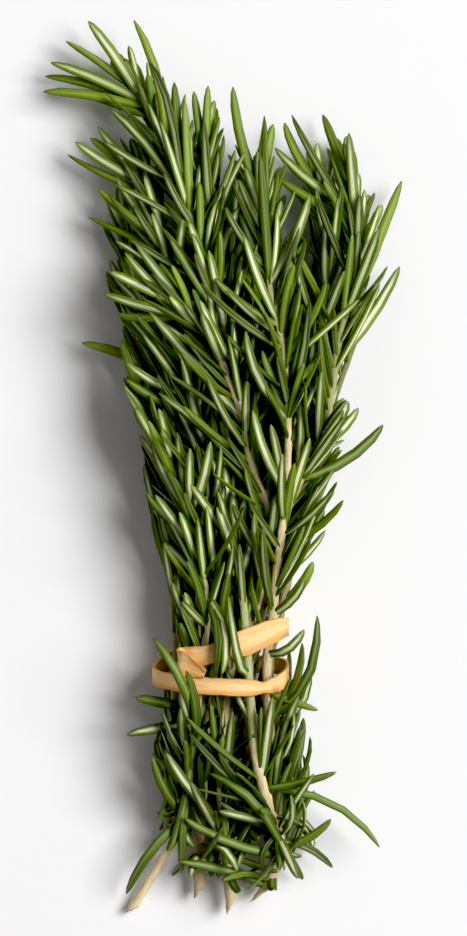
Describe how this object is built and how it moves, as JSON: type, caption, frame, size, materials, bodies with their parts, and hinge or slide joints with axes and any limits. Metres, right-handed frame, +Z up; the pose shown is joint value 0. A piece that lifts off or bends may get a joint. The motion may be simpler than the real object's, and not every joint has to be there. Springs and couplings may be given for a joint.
{
  "type": "tied bunch of rosemary",
  "caption": "Fresh rosemary sprigs with woody stems and narrow needle leaves, laid flat and held together by a wound strip of raffia.",
  "frame": {"origin": "centre of the bunch's bounding box, on the surface it lies on", "axes": "+Y along the bunch towards the leafy tips, +X across it, +Z up from the surface"},
  "size_m": [0.0802, 0.1998, 0.0327],
  "materials": {
    "rosemary_leaf": "satin",
    "rosemary_stem": "matte",
    "raffia": "matte"
  },
  "bodies": {
    "root": {"sprig_top_left_long": "rosemary_leaf", "sprig_right": "rosemary_leaf", "sprig_left_cluster": "rosemary_leaf", "sprig_centre_top": "rosemary_leaf", "sprig_top_right": "rosemary_leaf", "sprig_far_left": "rosemary_leaf", "sprig_middle_left": "rosemary_leaf", "sprig_lower_right": "rosemary_leaf", "sprig_pale_front": "rosemary_leaf", "sprig_back_left": "rosemary_leaf", "sprig_back_right": "rosemary_leaf", "sprig_back_centre": "rosemary_leaf", "raffia_tie": "raffia"}
  },
  "joints": []
}
